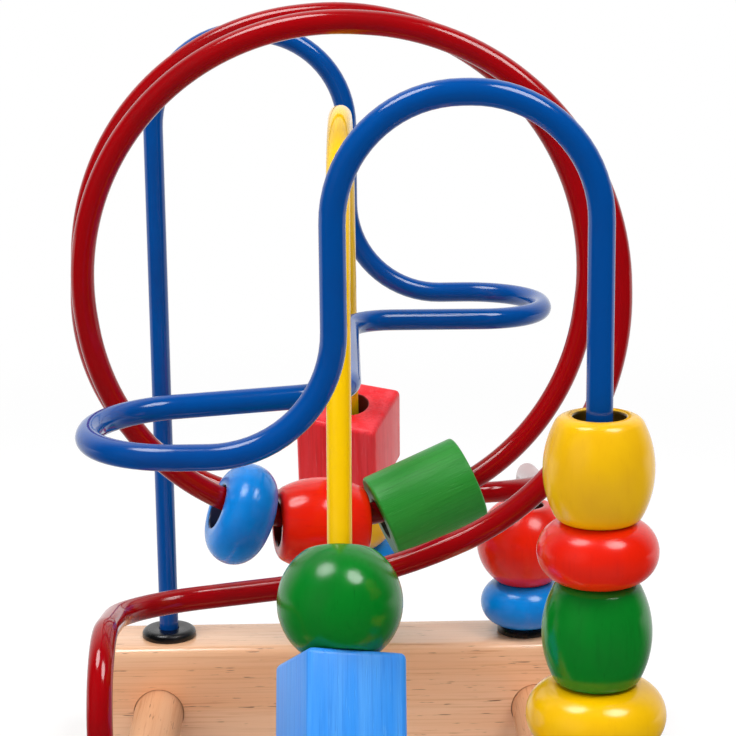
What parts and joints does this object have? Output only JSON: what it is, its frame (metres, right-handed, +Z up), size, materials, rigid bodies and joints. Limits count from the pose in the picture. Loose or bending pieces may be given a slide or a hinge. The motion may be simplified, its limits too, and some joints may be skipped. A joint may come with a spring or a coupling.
{
  "type": "bead maze",
  "caption": "Wooden bead maze: two beech bars joined by dowels carry blue, red and yellow bent wires with sliding wooden beads, discs, balls and cubes",
  "frame": {"origin": "on the floor, at the middle of the rectangle that the two bars enclose", "axes": "+X along the bars to the right, +Y from the front bar to the rear bar, +Z up"},
  "size_m": [0.16, 0.225, 0.2417],
  "materials": {
    "beech": "clear satin lacquer",
    "blue_coating": "gloss",
    "red_coating": "gloss",
    "yellow_coating": "gloss",
    "black_plastic": "satin",
    "red_paint": "gloss",
    "yellow_paint": "gloss",
    "green_paint": "gloss",
    "blue_paint": "gloss",
    "blue_stain": "satin",
    "red_stain": "satin",
    "green_stain": "satin"
  },
  "bodies": {
    "maze_frame": {"front_bar": "beech", "rear_bar": "beech", "left_dowel": "beech", "right_dowel": "beech", "blue_wire": "blue_coating", "red_wire": "red_coating", "yellow_wire": "yellow_coating", "front_left_grommet": "black_plastic", "front_centre_grommet": "black_plastic", "front_right_grommet": "black_plastic", "rear_left_grommet": "black_plastic", "rear_centre_grommet": "black_plastic", "rear_right_grommet": "black_plastic"},
    "stack_red_disc": {"stack_red_disc": "red_paint"},
    "stack_blue_barrel": {"stack_blue_barrel": "blue_paint"},
    "stack_yellow_disc": {"stack_yellow_disc": "yellow_paint"},
    "stack_green_barrel": {"stack_green_barrel": "green_paint"},
    "stack_top_disc": {"stack_top_disc": "red_paint"},
    "stack_yellow_barrel": {"stack_yellow_barrel": "yellow_paint"},
    "front_yellow_disc": {"front_yellow_disc": "yellow_paint"},
    "front_red_disc": {"front_red_disc": "red_paint"},
    "front_blue_cube": {"front_blue_cube": "blue_stain"},
    "front_green_ball": {"front_green_ball": "green_paint"},
    "rear_green_disc": {"rear_green_disc": "green_paint"},
    "rear_blue_disc": {"rear_blue_disc": "blue_paint"},
    "rear_yellow_ball": {"rear_yellow_ball": "yellow_paint"},
    "rear_red_cube": {"rear_red_cube": "red_stain"},
    "corner_blue_disc": {"corner_blue_disc": "blue_paint"},
    "corner_red_ball": {"corner_red_ball": "red_paint"},
    "loop_blue_disc": {"loop_blue_disc": "blue_paint"},
    "loop_red_barrel": {"loop_red_barrel": "red_paint"},
    "loop_green_log": {"loop_green_log": "green_stain"}
  },
  "joints": [
    {"name": "stack_red_disc_slide", "type": "slide", "parent": "maze_frame", "child": "stack_red_disc", "axis": [0, 0, 1], "range_m": [0, 0.003]},
    {"name": "stack_blue_barrel_slide", "type": "slide", "parent": "stack_red_disc", "child": "stack_blue_barrel", "axis": [0, 0, 1], "range_m": [0, 0.004]},
    {"name": "stack_yellow_disc_slide", "type": "slide", "parent": "stack_blue_barrel", "child": "stack_yellow_disc", "axis": [0, 0, 1], "range_m": [0, 0.005]},
    {"name": "stack_green_barrel_slide", "type": "slide", "parent": "stack_yellow_disc", "child": "stack_green_barrel", "axis": [0, 0, 1], "range_m": [0, 0.006]},
    {"name": "stack_top_disc_slide", "type": "slide", "parent": "stack_green_barrel", "child": "stack_top_disc", "axis": [0, 0, 1], "range_m": [0, 0.009]},
    {"name": "stack_yellow_barrel_slide", "type": "slide", "parent": "stack_top_disc", "child": "stack_yellow_barrel", "axis": [0, 0, 1], "range_m": [0, 0.012]},
    {"name": "front_yellow_disc_slide", "type": "slide", "parent": "maze_frame", "child": "front_yellow_disc", "axis": [0.0072, 0.3419, 0.9397], "range_m": [0, 0.004]},
    {"name": "front_red_disc_slide", "type": "slide", "parent": "front_yellow_disc", "child": "front_red_disc", "axis": [0.0072, 0.3419, 0.9397], "range_m": [0, 0.005]},
    {"name": "front_blue_cube_slide", "type": "slide", "parent": "front_red_disc", "child": "front_blue_cube", "axis": [0.0072, 0.3419, 0.9397], "range_m": [0, 0.008]},
    {"name": "front_green_ball_slide", "type": "slide", "parent": "front_blue_cube", "child": "front_green_ball", "axis": [0.0072, 0.3419, 0.9397], "range_m": [0, 0.011]},
    {"name": "rear_green_disc_slide", "type": "slide", "parent": "maze_frame", "child": "rear_green_disc", "axis": [-0.0072, -0.3419, 0.9397], "range_m": [0, 0.004]},
    {"name": "rear_blue_disc_slide", "type": "slide", "parent": "rear_green_disc", "child": "rear_blue_disc", "axis": [-0.0072, -0.3419, 0.9397], "range_m": [0, 0.005]},
    {"name": "rear_yellow_ball_slide", "type": "slide", "parent": "rear_blue_disc", "child": "rear_yellow_ball", "axis": [-0.0072, -0.3419, 0.9397], "range_m": [0, 0.008]},
    {"name": "rear_red_cube_slide", "type": "slide", "parent": "rear_yellow_ball", "child": "rear_red_cube", "axis": [-0.0072, -0.3419, 0.9397], "range_m": [0, 0.01]},
    {"name": "corner_blue_disc_slide", "type": "slide", "parent": "maze_frame", "child": "corner_blue_disc", "axis": [0, 0, 1], "range_m": [0, 0.002]},
    {"name": "corner_red_ball_slide", "type": "slide", "parent": "corner_blue_disc", "child": "corner_red_ball", "axis": [0, 0, 1], "range_m": [0, 0.004]},
    {"name": "loop_red_barrel_swing", "type": "hinge", "parent": "maze_frame", "child": "loop_red_barrel", "pos_m": [-0.00164, -0.00274, 0.17052], "axis": [-0.207, 0.9778, 0.0318], "range_deg": [0, 25]},
    {"name": "loop_blue_disc_swing", "type": "hinge", "parent": "loop_red_barrel", "child": "loop_blue_disc", "pos_m": [-0.00164, -0.00274, 0.17052], "axis": [-0.207, 0.9778, 0.0318], "range_deg": [0, 18]},
    {"name": "loop_green_log_swing", "type": "hinge", "parent": "maze_frame", "child": "loop_green_log", "pos_m": [0.00614, 0.00342, 0.16706], "axis": [0.1988, -0.9793, 0.0383], "range_deg": [0, 45]}
  ]
}
